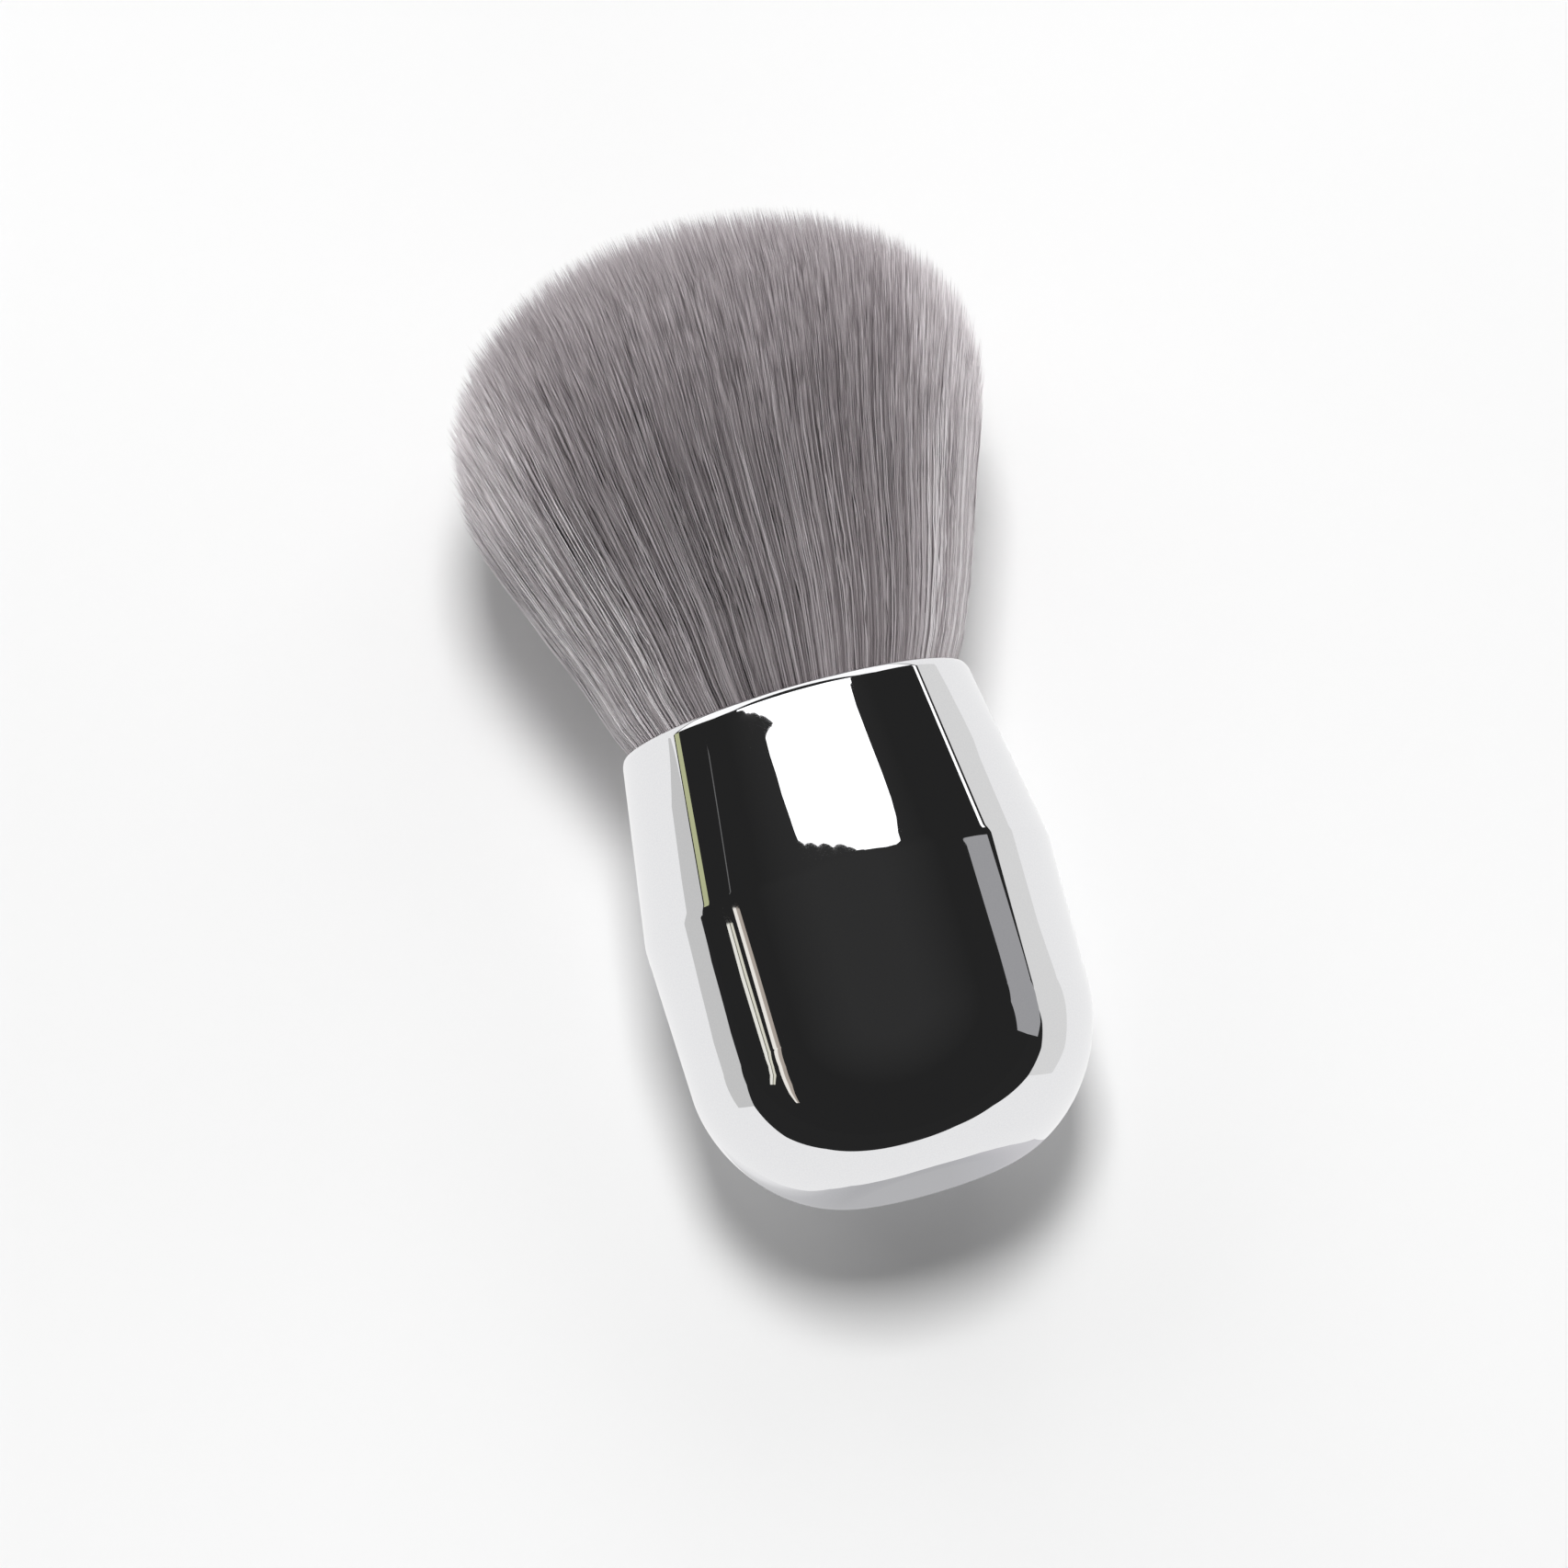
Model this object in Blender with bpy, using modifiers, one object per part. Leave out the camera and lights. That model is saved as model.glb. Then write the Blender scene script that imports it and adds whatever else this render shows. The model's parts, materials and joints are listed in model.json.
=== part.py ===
"""Nail dust brush: a domed fan of synthetic hair set in a mirror-plated metal handle, lying on its side.

Each piece is modelled upright about local Z, from the handle's flat base at zero up to the hair tips.
An empty lays the brush down along +Y, where it rests on the handle and on the flattened hair.
Lengths are in metres.
"""

import math

import bmesh
import bpy
import numpy as np
from mathutils import Matrix

# Handle shell, outside
HANDLE_HEIGHT = 0.0457
MOUTH_RADIUS = 0.0168
LIP_THICKNESS = 0.0012
GROOVE_DEPTH = 0.0001
GROOVE_WIDTH = 0.0003
CREASE_DROP = 0.0175
CREASE_RADIUS = 0.0194
CREASE_BLEND = 0.0009
CORNER_HEIGHT = 0.0137
CORNER_RADIUS = 0.0191
CORNER_POWER = 1.82
BASE_RADIUS = 0.0070
WALL = 0.0008

# Fit between neighbours
CLEARANCE = 0.0003

# Weight on its foam pad, in the bottom of the handle
PAD_THICKNESS = 0.0008
PAD_MARGIN = 0.0010
WEIGHT_HEIGHT = 0.0055
WEIGHT_CHAMFER = 0.0005

# Moulded insert that carries the hair's ferrule
INSERT_WALL = 0.0016
INSERT_FLOOR = 0.0016
INSERT_RIM = 0.0010
RIB_THICKNESS = 0.0014

# Ferrule, a drawn cup round the foot of the hair
FERRULE_DROP = 0.0075
FERRULE_HEIGHT = 0.0075
FERRULE_WALL = 0.0005

# Foot of the hair: resin, thread binding and the slice that the strands grow from
SLICE_DROP = 0.0009
SLICE_THICKNESS = 0.0016
BINDING_HEIGHT = 0.0016
BINDING_DEPTH = 0.0008

# Hair above the mouth
STRAND_COUNT = 400
STRAND_RADIUS = 0.00046
STRAND_TIP = 0.30
STRAND_TAPER = 0.0060
FAN_DEPTH = 0.0362
SHOULDER_HEIGHT = 0.0214
DOME_HEIGHT = 0.0255
DOME_POWER = 0.62
UNEVEN_TIPS = 0.0007
ROOT_DEPTH = 0.0008
HEAD_FLAT = 0.0005
HAIR_SEED = 7

# Facets of the turned pieces, and the angle past which an edge between faces stays sharp
SHELL_SEGMENTS = 64
INNER_SEGMENTS = 40
SKIN_STEPS = 10
LIP_STEPS = 8
BINDING_STEPS = 6
OUTLINE_STEPS = 200
SHARP_ANGLE = math.radians(32)

# Sizes that follow from the ones above
MOUTH_BORE = MOUTH_RADIUS - LIP_THICKNESS
INSERT_RADIUS = MOUTH_BORE - CLEARANCE
CREASE_HEIGHT = HANDLE_HEIGHT - CREASE_DROP
PAD_BOTTOM = WALL + CLEARANCE
WEIGHT_BOTTOM = PAD_BOTTOM + PAD_THICKNESS + CLEARANCE
INSERT_BOTTOM = WEIGHT_BOTTOM + WEIGHT_HEIGHT + CLEARANCE
FERRULE_RIM = HANDLE_HEIGHT - FERRULE_DROP
FERRULE_BOTTOM = FERRULE_RIM - FERRULE_HEIGHT
INSERT_TOP = FERRULE_RIM + INSERT_RIM
SOCKET_RADIUS = INSERT_RADIUS - INSERT_WALL
SOCKET_FLOOR = FERRULE_BOTTOM - CLEARANCE
FERRULE_RADIUS = SOCKET_RADIUS - CLEARANCE
FOOT_RADIUS = FERRULE_RADIUS - FERRULE_WALL - CLEARANCE
SLICE_TOP = FERRULE_RIM - SLICE_DROP
SLICE_BOTTOM = SLICE_TOP - SLICE_THICKNESS
RESIN_BOTTOM = FERRULE_BOTTOM + FERRULE_WALL + CLEARANCE
RESIN_TOP = SLICE_BOTTOM - CLEARANCE
FAN_SPREAD = INSERT_RADIUS - STRAND_RADIUS


def clear_scene():
    """Remove every object, so that the script can be run again in an open file."""
    for obj in list(bpy.data.objects):
        bpy.data.objects.remove(obj)


def new_collection(name):
    """A collection of this name, linked to the scene."""
    collection = bpy.data.collections.new(name)
    bpy.context.scene.collection.children.link(collection)
    return collection


def linear(hex_colour):
    """Linear RGBA of an sRGB colour written as RRGGBB."""
    srgb = np.array([int(hex_colour[i : i + 2], 16) for i in (0, 2, 4)]) / 255
    rgb = np.where(srgb <= 0.04045, srgb / 12.92, ((srgb + 0.055) / 1.055) ** 2.4)
    return (*rgb.tolist(), 1.0)


def give_finish(obj, colour, metallic, roughness):
    """The piece's own Principled material."""
    material = bpy.data.materials.new(obj.name)
    material.use_nodes = True
    shader = material.node_tree.nodes["Principled BSDF"]
    shader.inputs["Base Color"].default_value = linear(colour)
    shader.inputs["Metallic"].default_value = metallic
    shader.inputs["Roughness"].default_value = roughness
    obj.data.materials.append(material)


def as_helper(obj, collection):
    """Show a cutter or a guide as wire only."""
    for owner in list(obj.users_collection):
        owner.objects.unlink(obj)
    collection.objects.link(obj)
    obj.hide_render = True
    obj.display_type = "WIRE"
    return obj


def turned(name, profile, segments, collection):
    """A solid of revolution from (radius, height) points that run down its outer side.

    The half step of turn puts the middle of a facet underneath, so that the brush lies steadily.
    """
    mesh = bpy.data.meshes.new(name)
    points = [(radius, 0.0, height) for radius, height in profile]
    closed = points[0][0] > 0
    edges = [(i, i + 1) for i in range(len(points) - 1)]
    if closed:
        edges.append((len(points) - 1, 0))
    mesh.from_pydata(points, edges, [])
    obj = bpy.data.objects.new(name, mesh)
    collection.objects.link(obj)
    obj.rotation_euler.z = math.pi / segments
    screw = obj.modifiers.new("Turn", "SCREW")
    screw.axis = "Z"
    screw.steps = segments
    screw.render_steps = segments
    screw.use_merge_vertices = True
    screw.merge_threshold = 0.000001
    screw.use_smooth_shade = True
    return obj


def keep_edges_sharp(obj):
    """Last modifier of a piece: smooth faces, with every edge past the sharp angle left crisp."""
    edges = obj.modifiers.new("Edges", "EDGE_SPLIT")
    edges.split_angle = SHARP_ANGLE


def combine(obj, helper, operation):
    """Cut obj by a helper, or join the helper to it."""
    modifier = obj.modifiers.new(helper.name, "BOOLEAN")
    modifier.operation = operation
    modifier.solver = "EXACT"
    modifier.object = helper


def elliptic_arc(centre, radii, start, end, steps):
    """(radius, height) points on an ellipse, between two angles in degrees from the outward direction."""
    angles = np.radians(np.linspace(start, end, steps + 1))
    across = centre[0] + radii[0] * np.cos(angles)
    up = centre[1] + radii[1] * np.sin(angles)
    return list(zip(across.tolist(), up.tolist()))


def soft_crease(above, crease, below, blend, steps):
    """Points that round a crease off: the parabola that leaves and meets its sides at a distance blend."""
    above, crease, below = (np.array(p) for p in (above, crease, below))
    first = crease + blend * (above - crease) / np.linalg.norm(above - crease)
    last = crease + blend * (below - crease) / np.linalg.norm(below - crease)
    t = np.linspace(0, 1, steps + 1)[:, None]
    curve = (1 - t) ** 2 * first + 2 * t * (1 - t) * crease + t**2 * last
    return [tuple(p) for p in curve.tolist()]


def corner_line(inset, steps):
    """The handle's rounded bottom corner, from its side down to its flat base.

    It is a superellipse: the shares of its width and height, each to CORNER_POWER, add up to one.
    """
    angles = np.linspace(0, math.pi / 2, steps + 1)
    width = CORNER_RADIUS - BASE_RADIUS - inset
    height = CORNER_HEIGHT - inset
    across = BASE_RADIUS + width * np.abs(np.cos(angles)) ** (2 / CORNER_POWER)
    up = CORNER_HEIGHT - height * np.sin(angles) ** (2 / CORNER_POWER)
    across[-1] = BASE_RADIUS
    return list(zip(across.tolist(), up.tolist()))


def wall_line(inset, steps):
    """The handle's side from its neck down to the edge of its flat base, this far inside the skin."""
    neck_height = HANDLE_HEIGHT - LIP_THICKNESS - GROOVE_WIDTH
    neck = (MOUTH_RADIUS - GROOVE_DEPTH - inset, neck_height)
    crease = (CREASE_RADIUS - inset, CREASE_HEIGHT)
    corner = (CORNER_RADIUS - inset, CORNER_HEIGHT)
    blended = soft_crease(neck, crease, corner, CREASE_BLEND, steps // 2)
    return [neck, *blended, *corner_line(inset, steps)]


def lip_line(steps):
    """The rolled lip, from low on its inside over the top and 50 degrees under on its outside."""
    half = LIP_THICKNESS / 2
    centre = (MOUTH_RADIUS - half, HANDLE_HEIGHT - half)
    under = 50
    return elliptic_arc(centre, (half, half), 180 + under, -under, steps)


def bore_at(height):
    """Radius inside the handle's rounded corner, or inside its mouth, if that is less, at this height."""
    share = (CORNER_HEIGHT - height) / (CORNER_HEIGHT - WALL)
    share = min(max(share, 0.0), 1.0)
    width = CORNER_RADIUS - BASE_RADIUS - WALL
    corner = BASE_RADIUS + width * (1 - share**CORNER_POWER) ** (1 / CORNER_POWER)
    return min(corner, MOUTH_BORE)


def make_handle_shell(collection):
    """Drawn metal cup with a rolled lip, a coned neck and a flat base."""
    inside = wall_line(WALL, SKIN_STEPS)[::-1]
    outside = wall_line(0.0, SKIN_STEPS)
    profile = [(0.0, WALL), *inside, *lip_line(LIP_STEPS), *outside, (0.0, 0.0)]
    shell = turned("handle_shell", profile, SHELL_SEGMENTS, collection)
    give_finish(shell, "E3E4E6", 1.0, 0.04)
    return shell


def make_weight_pad(collection):
    """Foam tape disc that holds the weight to the base and stops it rattling."""
    radius = bore_at(PAD_BOTTOM) - PAD_MARGIN
    top = PAD_BOTTOM + PAD_THICKNESS
    profile = [(0.0, top), (radius, top), (radius, PAD_BOTTOM), (0.0, PAD_BOTTOM)]
    pad = turned("weight_pad", profile, INNER_SEGMENTS, collection)
    give_finish(pad, "3A3A3C", 0.0, 0.9)
    return pad


def make_base_weight(collection):
    """Turned steel disc that gives the handle its heft, chamfered on both edges."""
    radius = bore_at(WEIGHT_BOTTOM) - CLEARANCE
    top = WEIGHT_BOTTOM + WEIGHT_HEIGHT
    profile = [
        (0.0, top),
        (radius - WEIGHT_CHAMFER, top),
        (radius, top - WEIGHT_CHAMFER),
        (radius, WEIGHT_BOTTOM + WEIGHT_CHAMFER),
        (radius - WEIGHT_CHAMFER, WEIGHT_BOTTOM),
        (0.0, WEIGHT_BOTTOM),
    ]
    weight = turned("base_weight", profile, INNER_SEGMENTS, collection)
    give_finish(weight, "8C8E91", 1.0, 0.35)
    return weight


def make_rib(name, angle, helpers):
    """Upright plate across the insert's lower hollow, sunk half a wall into what it joins."""
    reach = INSERT_RADIUS - INSERT_WALL / 2
    top = SOCKET_FLOOR - INSERT_FLOOR / 2
    height = top - INSERT_BOTTOM
    mesh = bpy.data.meshes.new(name)
    box = bmesh.new()
    bmesh.ops.create_cube(box, size=1.0)
    bmesh.ops.scale(box, vec=(2 * reach, RIB_THICKNESS, height), verts=box.verts)
    bmesh.ops.translate(box, vec=(0.0, 0.0, INSERT_BOTTOM + height / 2), verts=box.verts)
    bmesh.ops.rotate(box, matrix=Matrix.Rotation(angle, 3, "Z"), verts=box.verts)
    box.to_mesh(mesh)
    box.free()
    return as_helper(bpy.data.objects.new(name, mesh), helpers)


def make_handle_insert(collection, helpers):
    """Moulded plastic core: a socket for the ferrule above, and a hollow with crossed ribs below."""
    hollow_radius = INSERT_RADIUS - INSERT_WALL
    hollow_top = SOCKET_FLOOR - INSERT_FLOOR
    profile = [
        (0.0, SOCKET_FLOOR),
        (SOCKET_RADIUS, SOCKET_FLOOR),
        (SOCKET_RADIUS, INSERT_TOP),
        (INSERT_RADIUS, INSERT_TOP),
        (INSERT_RADIUS, INSERT_BOTTOM),
        (hollow_radius, INSERT_BOTTOM),
        (hollow_radius, hollow_top),
        (0.0, hollow_top),
    ]
    insert = turned("handle_insert", profile, INNER_SEGMENTS, collection)
    for name, angle in (("rib_along", 0.0), ("rib_across", math.pi / 2)):
        combine(insert, make_rib(name, angle, helpers), "UNION")
    give_finish(insert, "D8D6D0", 0.0, 0.45)
    return insert


def make_hair_ferrule(collection):
    """Drawn aluminium cup that the foot of the hair is set in."""
    inner = FERRULE_RADIUS - FERRULE_WALL
    floor = FERRULE_BOTTOM + FERRULE_WALL
    profile = [
        (0.0, floor),
        (inner, floor),
        (inner, FERRULE_RIM),
        (FERRULE_RADIUS, FERRULE_RIM),
        (FERRULE_RADIUS, FERRULE_BOTTOM + FERRULE_WALL),
        (inner, FERRULE_BOTTOM),
        (0.0, FERRULE_BOTTOM),
    ]
    ferrule = turned("hair_ferrule", profile, INNER_SEGMENTS, collection)
    give_finish(ferrule, "C4C6C8", 1.0, 0.3)
    return ferrule


def make_root_resin(collection):
    """Cast resin round the cut ends of the hair, with a waist where the thread is wound."""
    waist = FOOT_RADIUS - BINDING_DEPTH - CLEARANCE
    middle = (RESIN_BOTTOM + RESIN_TOP) / 2
    half_groove = BINDING_HEIGHT / 2 + CLEARANCE
    profile = [
        (0.0, RESIN_TOP),
        (FOOT_RADIUS, RESIN_TOP),
        (FOOT_RADIUS, middle + half_groove),
        (waist, middle + half_groove),
        (waist, middle - half_groove),
        (FOOT_RADIUS, middle - half_groove),
        (FOOT_RADIUS, RESIN_BOTTOM),
        (0.0, RESIN_BOTTOM),
    ]
    resin = turned("root_resin", profile, INNER_SEGMENTS, collection)
    give_finish(resin, "B98F4E", 0.0, 0.25)
    return resin


def make_root_binding(collection):
    """Band of nylon thread that ties the foot of the hair, half round on its outside."""
    middle = (RESIN_BOTTOM + RESIN_TOP) / 2
    inner = FOOT_RADIUS - BINDING_DEPTH
    radii = (BINDING_DEPTH / 2, BINDING_HEIGHT / 2)
    crown = elliptic_arc((FOOT_RADIUS - radii[0], middle), radii, 90, -90, BINDING_STEPS)
    profile = [(inner, middle + radii[1]), *crown, (inner, middle - radii[1])]
    binding = turned("root_binding", profile, INNER_SEGMENTS, collection)
    give_finish(binding, "E8E4DA", 0.0, 0.8)
    return binding


def fan_growth(height):
    """How far the fan has opened at a height above the mouth, as a factor of its width there."""
    return 1 + height / FAN_DEPTH


def tip_height(share):
    """Height of the tips above the mouth: a flat dome, full at the axis and down at its shoulder at 1."""
    return SHOULDER_HEIGHT + DOME_HEIGHT * (1 - share**2) ** DOME_POWER


def strand_layout():
    """Each strand's share of the fan's width, its turn about the axis and its tip height.

    The strands lie on a sunflower spiral, which spaces them evenly over the round foot.
    """
    number = np.arange(STRAND_COUNT)
    share = np.sqrt((number + 0.5) / STRAND_COUNT)
    turn = number * math.pi * (3 - math.sqrt(5))
    uneven = np.random.default_rng(HAIR_SEED).uniform(-1, 1, STRAND_COUNT)
    return share, turn, tip_height(share) + UNEVEN_TIPS * uneven


def three_sided_guide(helpers):
    """Cross-section of a strand: a triangle of unit radius, which each strand point scales."""
    curve = bpy.data.curves.new("strand_section", "CURVE")
    curve.dimensions = "2D"
    outline = curve.splines.new("POLY")
    outline.points.add(2)
    for point, angle in zip(outline.points, (90, 210, 330)):
        at = math.radians(angle)
        point.co = (math.cos(at), math.sin(at), 0.0, 1.0)
    outline.use_cyclic_u = True
    return as_helper(bpy.data.objects.new("strand_section", curve), helpers)


def add_strand(curve, share, turn, tip):
    """One straight strand: it grows with the fan up to its taper, then narrows to its tip."""
    root = SLICE_TOP - ROOT_DEPTH - HANDLE_HEIGHT
    taper = tip - STRAND_TAPER
    spline = curve.splines.new("POLY")
    spline.points.add(2)
    for point, height, width in zip(spline.points, (root, taper, tip), (1, 1, STRAND_TIP)):
        grown = fan_growth(height)
        out = FAN_SPREAD * share * grown
        point.co = (out * math.cos(turn), out * math.sin(turn), HANDLE_HEIGHT + height, 1.0)
        point.radius = STRAND_RADIUS * grown * width


def make_strands(helpers):
    """All the strands as one mesh of closed bodies."""
    section = three_sided_guide(helpers)
    curve = bpy.data.curves.new("strands", "CURVE")
    curve.dimensions = "3D"
    curve.bevel_mode = "OBJECT"
    curve.bevel_object = section
    curve.use_fill_caps = True
    for share, turn, tip in zip(*strand_layout()):
        add_strand(curve, share, turn, tip)
    drawn = as_helper(bpy.data.objects.new("strands_drawn", curve), helpers)
    bpy.context.view_layer.update()
    evaluated = drawn.evaluated_get(bpy.context.evaluated_depsgraph_get())
    mesh = bpy.data.meshes.new_from_object(evaluated)
    tidy = bmesh.new()
    tidy.from_mesh(mesh)
    bmesh.ops.remove_doubles(tidy, verts=tidy.verts, dist=0.000001)
    bmesh.ops.recalc_face_normals(tidy, faces=tidy.faces)
    tidy.to_mesh(mesh)
    tidy.free()
    bpy.data.objects.remove(drawn)
    return as_helper(bpy.data.objects.new("strands", mesh), helpers)


def make_bristles(collection, helpers):
    """The fan of hair with the slice of resin that its strands grow from."""
    profile = [
        (0.0, SLICE_TOP),
        (FOOT_RADIUS, SLICE_TOP),
        (FOOT_RADIUS, SLICE_BOTTOM),
        (0.0, SLICE_BOTTOM),
    ]
    bristles = turned("bristles", profile, INNER_SEGMENTS, collection)
    strands = make_strands(helpers)
    combine(bristles, strands, "UNION")
    give_finish(bristles, "948B8F", 0.0, 0.55)
    return bristles, strands


def resting_line():
    """Slope and offset of the floor in the upright brush: the line that touches handle and head below.

    The head's outline runs through the strands' tips, drawn in by the flat that the hair is pressed
    to. Each handle point is taken at the middle of a facet.
    """
    handle = np.array(wall_line(0.0, SKIN_STEPS))
    handle[:, 0] *= math.cos(math.pi / SHELL_SEGMENTS)
    share = np.linspace(0, 1, OUTLINE_STEPS)
    height = tip_height(share)
    head_radius = FAN_SPREAD * share * fan_growth(height) - HEAD_FLAT
    head_height = HANDLE_HEIGHT + height
    rise = head_radius[:, None] - handle[None, :, 0]
    run = head_height[:, None] - handle[None, :, 1]
    slope = (rise / run).min(axis=1).max()
    return slope, (handle[:, 0] - slope * handle[:, 1]).max()


def lay_down(pieces, helpers_on_brush):
    """Hang every piece on an empty that lays the brush along +Y, its lowest line on the floor."""
    slope, offset = resting_line()
    tilt = math.atan(slope)
    rest = bpy.data.objects.new("brush_rest", None)
    bpy.context.scene.collection.objects.link(rest)
    rest.rotation_euler.x = tilt - math.pi / 2
    rest.location.z = offset * math.cos(tilt)
    for obj in (*pieces, *helpers_on_brush):
        obj.parent = rest
    return rest


def cut_flat(bristles, helpers):
    """Take off what would reach below the floor, where the hair is pressed flat.

    The cutter is a cube under the floor, twice as long each way as the whole brush.
    """
    side = 4 * (HANDLE_HEIGHT + SHOULDER_HEIGHT + DOME_HEIGHT)
    bpy.ops.mesh.primitive_cube_add(size=side, location=(0.0, 0.0, -side / 2))
    floor = as_helper(bpy.context.object, helpers)
    floor.name = "floor_cutter"
    combine(bristles, floor, "DIFFERENCE")


def centre_on_origin(rest, pieces):
    """Move the brush along Y so that the middle of its box stands over the origin."""
    bpy.context.view_layer.update()
    graph = bpy.context.evaluated_depsgraph_get()
    ends = []
    for piece in pieces:
        evaluated = piece.evaluated_get(graph)
        ends += [(evaluated.matrix_world @ v.co).y for v in evaluated.data.vertices]
    rest.location.y -= (min(ends) + max(ends)) / 2


def main():
    """Build the brush."""
    clear_scene()
    parts = new_collection("nail_dust_brush")
    helpers = new_collection("cutters")
    insert = make_handle_insert(parts, helpers)
    bristles, strands = make_bristles(parts, helpers)
    pieces = [
        make_handle_shell(parts),
        make_weight_pad(parts),
        make_base_weight(parts),
        insert,
        make_hair_ferrule(parts),
        make_root_resin(parts),
        make_root_binding(parts),
        bristles,
    ]
    ribs = [modifier.object for modifier in insert.modifiers if modifier.type == "BOOLEAN"]
    rest = lay_down(pieces, (strands, *ribs))
    cut_flat(bristles, helpers)
    for piece in pieces:
        keep_edges_sharp(piece)
    centre_on_origin(rest, pieces)


main()
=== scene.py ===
"""Looks of a nail dust brush: a mirror-plated handle and a fan of fine mauve-grey hair, lying on its side."""

import json
import math
import bpy
import numpy as np
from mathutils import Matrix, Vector


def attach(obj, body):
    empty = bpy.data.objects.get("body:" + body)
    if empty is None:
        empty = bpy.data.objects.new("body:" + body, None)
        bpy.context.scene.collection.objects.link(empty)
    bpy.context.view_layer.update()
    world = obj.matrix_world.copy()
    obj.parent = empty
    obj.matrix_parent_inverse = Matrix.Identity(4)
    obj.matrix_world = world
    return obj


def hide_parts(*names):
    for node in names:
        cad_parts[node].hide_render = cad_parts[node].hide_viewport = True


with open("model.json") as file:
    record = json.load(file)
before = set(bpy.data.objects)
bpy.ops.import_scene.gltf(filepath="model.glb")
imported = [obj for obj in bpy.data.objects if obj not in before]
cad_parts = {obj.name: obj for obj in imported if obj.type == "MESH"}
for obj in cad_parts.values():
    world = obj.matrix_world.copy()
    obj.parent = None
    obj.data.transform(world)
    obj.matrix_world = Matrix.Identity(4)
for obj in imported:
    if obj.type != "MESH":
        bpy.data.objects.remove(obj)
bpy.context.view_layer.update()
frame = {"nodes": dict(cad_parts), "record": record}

MM = 0.001

# Where the brush lies: its base disc's middle and its own axis, which points at the head
BASE_MOUNT = frame["record"]["mounts"][0]
BASE_POINT = np.array(BASE_MOUNT["pos_m"])
AXIS = -np.array(BASE_MOUNT["axis"])
ACROSS = np.array([1.0, 0.0, 0.0])
OVER = np.cross(ACROSS, AXIS)

# Handle, millimetres, heights from the base
HANDLE_HEIGHT = 45.7
CREASE_HEIGHT = 28.2
CREASE_RADIUS = 19.4
CONE_SLOPE = 0.159
CORNER_HEIGHT = 13.7
CORNER_RADIUS = 19.07
CORNER_POWER = 1.82
BASE_RADIUS = 7.0
WALL = 0.8

# How far the crease's rounding reaches up the cone and down the body
CREASE_ABOVE = 0.5
CREASE_BELOW = 0.35

# Turns of the lip's line: up to this angle of its face, in degrees from outward, over this length in mm
LIP_TURNS = ((12.5, 0.10), (22, 0.27), (30, 0.28), (90, 0.30), (180, 0.35))

# Inside the shell: how far the wall goes straight down from the lip, and how far it has drawn in half way
# down the bottom corner
INSIDE_STRAIGHT = 2.0
INSIDE_DRAW = 2.0

# Steps of the handle's line and of its turn round the axis
HANDLE_SEGMENTS = 360
CORNER_STEPS = 80
SIDE_STEPS = 16
CREASE_STEPS = 14
LIP_STEPS = 8

# Hair, millimetres, heights from the mouth. Real filaments are too fine to show, so these are drawn about
# twice as thick
HAIR_COUNT = 42000
HAIR_RADIUS = 0.075
HAIR_ROOT = -1.6
HAIR_SEED = 11
FAN_RADIUS = 15.9
FAN_SLOPE = 0.365
SHOULDER_HEIGHT = 22.4
DOME_HEIGHT = 25.3
DOME_POWER = 0.545
TIP_SPREAD = 1.8

# How far the lip draws the fan in, up to which height, and over how much height this fades
NECK_DRAW = 0.35
NECK_HEIGHT = 1.2
NECK_FADE = 0.4

# How far the head leans across, as (height, shift) pairs
LEAN = ((0, 0), (8, 0.5), (16, 0.4), (22, 0.45), (30, 0.9), (38, 1.1), (44, 0.6), (47, 0.3))

# Where the head lies on the table: the gap under it, the height over which strands give way, how sharply
# they do, and up to how many of those heights
FLOOR_CLEARANCE = 0.06
PRESS_HEIGHT = 1.2
PRESS_SHARPNESS = 2.2
PRESS_REACH = 3

# Strands stand in small clumps, which stand in big ones. A power of a half spreads them evenly
SMALL_CLUMPS = 8000
BIG_CLUMPS = 300
STRAND_POWER = 0.49
BIG_CLUMP_POWER = 0.5

# Parts in which the nearest clumps are worked out, to spare memory
NEAREST_PARTS = 40

# How strands differ. Tones are places on the colour ramp: of the middle, what the sides add, and the spread
# of single strands, small clumps and big clumps. The paler left and right sides are painted light, and the
# wider spread of single strands there is painted light and shade between the strands
TONE_MIDDLE = 0.46
TONE_PAINTED_SIDE_LIGHT = 0.64
PAINTED_SIDE_LIGHT_START = 0.52
PAINTED_SIDE_LIGHT_END = 0.98
PAINTED_SIDE_LIGHT_POWER = 1.5
TONE_SPREAD = {"own": 0.24, "own_painted_sides": 1.0, "small": 0.03, "big": 0.012}
TONE_LIMITS = (0.03, 0.97)

# Leans and sways are shares of the half width. A few strands stray further
LEAN_SPREAD = {"own": 0.007, "small": 0.002, "big": 0.0018}
STRAY_SHARE = 0.02
STRAY_LEAN = 3.0
SWAY_SPREAD = 0.004

# Waves on a strand's way, their own spread, and the share by which strands join their clump at the tip
WAVES = (2.5, 5.0)
WAVE_SPREAD = 0.1
PULL = (0.02, 0.12)

# Powers of the way with which a strand joins its clump and takes its lean
PULL_POWER = 1.5
LEAN_POWER = 1.4

# Hair is drawn in two layers: kind, shares of the half width, number of pieces and the places of a strand's
# rings on its way from root to tip. A strand tapers as (place, share of its thickness) pairs
HAIR_LAYERS = (
    ("outer", 0.8, 1.01, 6, (0.0, 0.08, 0.17, 0.26, 0.36, 0.46, 0.56, 0.66, 0.76, 0.86, 0.94)),
    ("core", 0.0, 0.8, 5, (0.0, 0.3, 0.6, 0.82, 0.94)),
)
STRAND_SIDES = 3
STRAND_TAPER = ((0, 1.0), (0.6, 1.0), (0.8, 0.8), (0.94, 0.42))

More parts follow.
